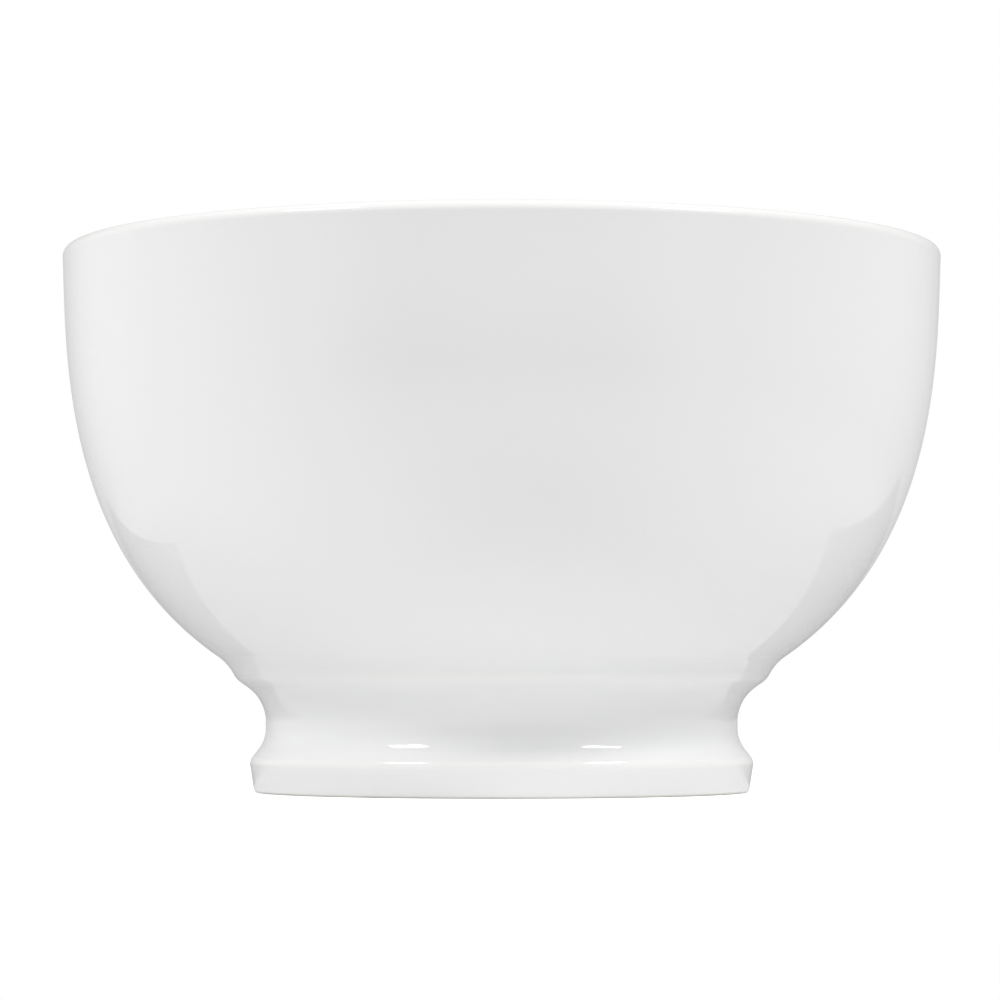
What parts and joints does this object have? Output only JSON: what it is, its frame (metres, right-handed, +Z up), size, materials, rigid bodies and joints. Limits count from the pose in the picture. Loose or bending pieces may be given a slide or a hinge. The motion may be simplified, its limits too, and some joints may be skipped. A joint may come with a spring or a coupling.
{
  "type": "shaving bowl",
  "caption": "Round white glazed porcelain shaving bowl with a rounded lip, on a hollow waisted pedestal foot with a collar and a plain base band.",
  "frame": {"origin": "centre of the foot's bearing ring, on the surface that the bowl stands on", "axes": "+Z up along the bowl's axis of turning; X and Y are alike, because the bowl is round"},
  "size_m": [0.1384, 0.1384, 0.0852],
  "materials": {
    "porcelain_glaze": "clear gloss glaze over white porcelain"
  },
  "bodies": {
    "root": {"bowl_body": "porcelain_glaze", "luting_seam": "porcelain_glaze", "pedestal_foot": "porcelain_glaze"}
  },
  "joints": []
}
